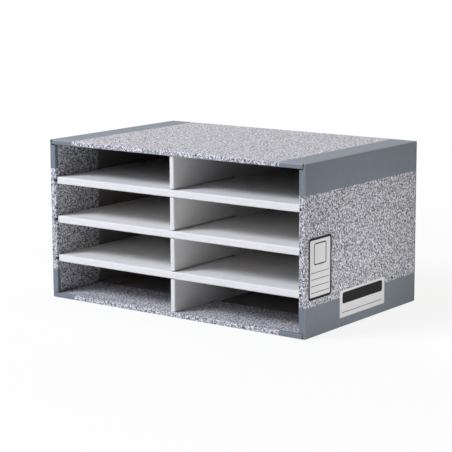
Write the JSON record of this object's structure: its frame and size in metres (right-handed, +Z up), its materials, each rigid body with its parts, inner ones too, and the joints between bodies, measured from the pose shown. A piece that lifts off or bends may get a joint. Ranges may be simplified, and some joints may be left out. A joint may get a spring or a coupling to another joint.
{
  "type": "document sorter",
  "caption": "Open-fronted desktop document sorter of folded corrugated board, with an upright divider and slide-in shelves that make pigeon holes for A4 sheets.",
  "frame": {"origin": "middle of the underside, where the sorter stands on a desk", "axes": "+X to the right along the width, seen from the open front; +Y to the closed back; +Z up"},
  "size_m": [0.49, 0.315, 0.256],
  "materials": {
    "printed_board": "matt print",
    "white_board": "matt white",
    "plain_board": "uncoated"
  },
  "bodies": {
    "carton": {"carton_top": "printed_board", "carton_bottom": "printed_board", "carton_left_side": "printed_board", "carton_right_side": "printed_board", "front_flap_top": "printed_board", "front_flap_bottom": "printed_board", "front_flap_left": "printed_board", "front_flap_right": "printed_board", "rear_flap_top": "printed_board", "rear_flap_bottom": "printed_board", "rear_flap_left": "plain_board", "rear_flap_right": "plain_board", "seam_flap": "plain_board", "divider": "white_board"},
    "shelf_lower": {"shelf_lower_cover": "white_board", "shelf_lower_core": "plain_board"},
    "shelf_middle": {"shelf_middle_cover": "white_board", "shelf_middle_core": "plain_board"},
    "shelf_upper": {"shelf_upper_cover": "white_board", "shelf_upper_core": "plain_board"}
  },
  "joints": [
    {"name": "shelf_lower_slide", "type": "slide", "parent": "carton", "child": "shelf_lower", "axis": [0, -1, 0], "range_m": [0, 0.3]},
    {"name": "shelf_middle_slide", "type": "slide", "parent": "carton", "child": "shelf_middle", "axis": [0, -1, 0], "range_m": [0, 0.3]},
    {"name": "shelf_upper_slide", "type": "slide", "parent": "carton", "child": "shelf_upper", "axis": [0, -1, 0], "range_m": [0, 0.3]}
  ]
}
